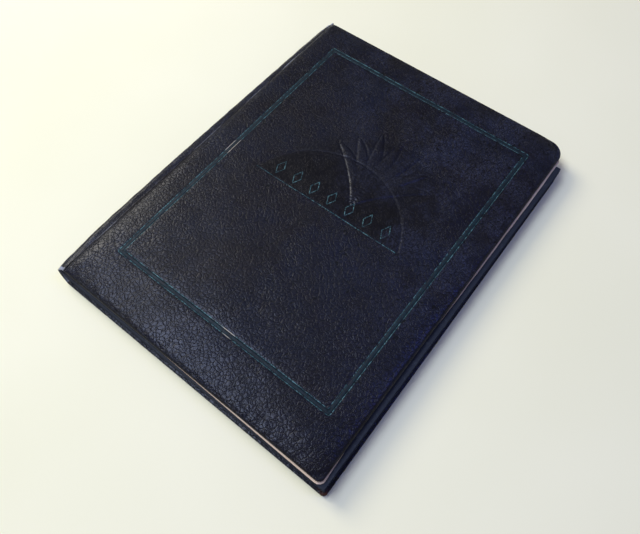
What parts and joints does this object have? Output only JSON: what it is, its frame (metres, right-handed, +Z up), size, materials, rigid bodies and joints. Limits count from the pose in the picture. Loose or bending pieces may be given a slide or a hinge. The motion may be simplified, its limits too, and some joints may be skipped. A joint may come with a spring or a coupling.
{
  "type": "scrapbook album",
  "caption": "Closed scrapbook album with padded leather covers, a rounded spine, tooled foil border and black card leaves that turn on linen guards.",
  "frame": {"origin": "centre of the footprint, on the plane the back cover rests on", "axes": "+X from the spine to the fore-edge, +Y from the tail to the head, +Z up out of the front cover"},
  "size_m": [0.2346, 0.3048, 0.02],
  "materials": {
    "leather": "dark navy, crackled grain, worn soft gloss",
    "board": "matt grey-brown board",
    "wadding": "cotton wadding",
    "lining_card": "aged cream card",
    "leaf_card": "matt black card",
    "guard_linen": "black bookbinder's linen",
    "spine_cloth": "open-weave binding cloth",
    "pale_foil": "worn pale green foil",
    "dark_foil": "dark teal foil"
  },
  "bodies": {
    "back_cover": {"back_leather": "leather", "back_board": "board", "back_wadding": "wadding", "back_lining": "lining_card", "spine_leather_back": "leather", "spine_lining": "spine_cloth"},
    "leaf_12": {"leaf_12": "leaf_card", "leaf_12_guard": "guard_linen"},
    "leaf_11": {"leaf_11": "leaf_card", "leaf_11_guard": "guard_linen"},
    "leaf_10": {"leaf_10": "leaf_card", "leaf_10_guard": "guard_linen"},
    "leaf_09": {"leaf_09": "leaf_card", "leaf_09_guard": "guard_linen"},
    "leaf_08": {"leaf_08": "leaf_card", "leaf_08_guard": "guard_linen"},
    "leaf_07": {"leaf_07": "leaf_card", "leaf_07_guard": "guard_linen"},
    "leaf_06": {"leaf_06": "leaf_card", "leaf_06_guard": "guard_linen"},
    "leaf_05": {"leaf_05": "leaf_card", "leaf_05_guard": "guard_linen"},
    "leaf_04": {"leaf_04": "leaf_card", "leaf_04_guard": "guard_linen"},
    "leaf_03": {"leaf_03": "leaf_card", "leaf_03_guard": "guard_linen"},
    "leaf_02": {"leaf_02": "leaf_card", "leaf_02_guard": "guard_linen"},
    "leaf_01": {"leaf_01": "leaf_card", "leaf_01_guard": "guard_linen"},
    "front_cover": {"front_leather": "leather", "front_board": "board", "front_wadding": "wadding", "front_lining": "lining_card", "spine_leather_front": "leather", "border_line_outer": "pale_foil", "border_band": "dark_foil", "border_line_inner": "pale_foil", "title_rule": "pale_foil", "title_marks": "pale_foil"}
  },
  "joints": [
    {"name": "leaf_12_hinge", "type": "hinge", "parent": "back_cover", "child": "leaf_12", "pos_m": [-0.1175, 0, 0.01], "axis": [0, -1, 0], "range_deg": [0, 179.99]},
    {"name": "leaf_11_hinge", "type": "hinge", "parent": "leaf_12", "child": "leaf_11", "pos_m": [-0.1175, 0, 0.01], "axis": [0, -1, 0], "range_deg": [0, 179.99]},
    {"name": "leaf_10_hinge", "type": "hinge", "parent": "leaf_11", "child": "leaf_10", "pos_m": [-0.1175, 0, 0.01], "axis": [0, -1, 0], "range_deg": [0, 179.99]},
    {"name": "leaf_09_hinge", "type": "hinge", "parent": "leaf_10", "child": "leaf_09", "pos_m": [-0.1175, 0, 0.01], "axis": [0, -1, 0], "range_deg": [0, 179.99]},
    {"name": "leaf_08_hinge", "type": "hinge", "parent": "leaf_09", "child": "leaf_08", "pos_m": [-0.1175, 0, 0.01], "axis": [0, -1, 0], "range_deg": [0, 179.99]},
    {"name": "leaf_07_hinge", "type": "hinge", "parent": "leaf_08", "child": "leaf_07", "pos_m": [-0.1175, 0, 0.01], "axis": [0, -1, 0], "range_deg": [0, 179.99]},
    {"name": "leaf_06_hinge", "type": "hinge", "parent": "leaf_07", "child": "leaf_06", "pos_m": [-0.1175, 0, 0.01], "axis": [0, -1, 0], "range_deg": [0, 179.99]},
    {"name": "leaf_05_hinge", "type": "hinge", "parent": "leaf_06", "child": "leaf_05", "pos_m": [-0.1175, 0, 0.01], "axis": [0, -1, 0], "range_deg": [0, 179.99]},
    {"name": "leaf_04_hinge", "type": "hinge", "parent": "leaf_05", "child": "leaf_04", "pos_m": [-0.1175, 0, 0.01], "axis": [0, -1, 0], "range_deg": [0, 179.99]},
    {"name": "leaf_03_hinge", "type": "hinge", "parent": "leaf_04", "child": "leaf_03", "pos_m": [-0.1175, 0, 0.01], "axis": [0, -1, 0], "range_deg": [0, 179.99]},
    {"name": "leaf_02_hinge", "type": "hinge", "parent": "leaf_03", "child": "leaf_02", "pos_m": [-0.1175, 0, 0.01], "axis": [0, -1, 0], "range_deg": [0, 179.99]},
    {"name": "leaf_01_hinge", "type": "hinge", "parent": "leaf_02", "child": "leaf_01", "pos_m": [-0.1175, 0, 0.01], "axis": [0, -1, 0], "range_deg": [0, 179.99]},
    {"name": "front_cover_hinge", "type": "hinge", "parent": "leaf_01", "child": "front_cover", "pos_m": [-0.1175, 0, 0.01], "axis": [0, -1, 0], "range_deg": [0, 179.99], "deforming": ["spine_lining"]}
  ]
}
